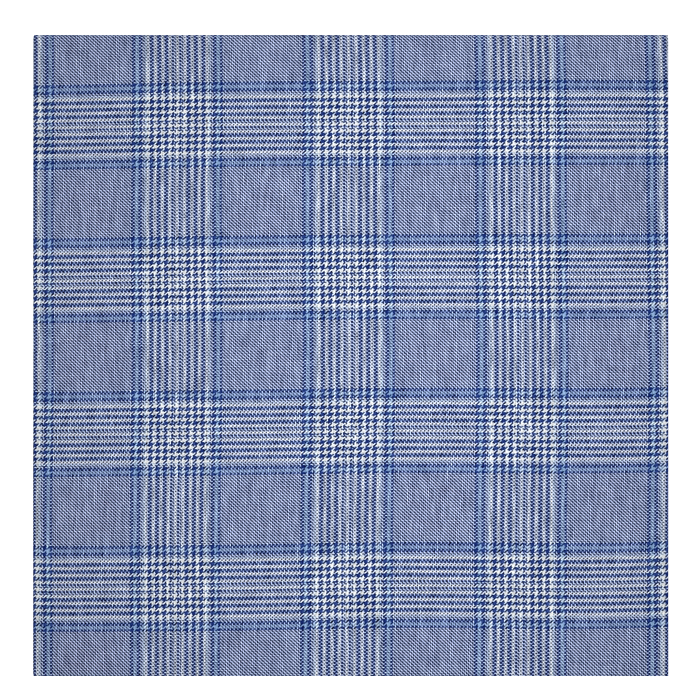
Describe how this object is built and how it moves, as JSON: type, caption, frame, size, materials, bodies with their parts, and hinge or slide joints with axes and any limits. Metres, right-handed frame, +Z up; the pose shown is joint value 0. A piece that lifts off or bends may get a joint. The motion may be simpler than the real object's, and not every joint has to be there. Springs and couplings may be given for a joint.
{
  "type": "folded pocket square",
  "caption": "Fine checked twill pocket square with a narrow hem, folded in half twice into a flat square stack of four layers.",
  "frame": {"origin": "on the resting surface, under the middle of the folded stack", "axes": "+Z up through the layers, +Y towards the second (nested) fold, -X towards the first fold; the open edges are at +X and -Y"},
  "size_m": [0.165, 0.1668, 0.0055],
  "materials": {
    "cloth": "matt fine twill, navy, white and light blue yarns in a glen check"
  },
  "bodies": {
    "root": {"pocket_square": "cloth"}
  },
  "joints": []
}
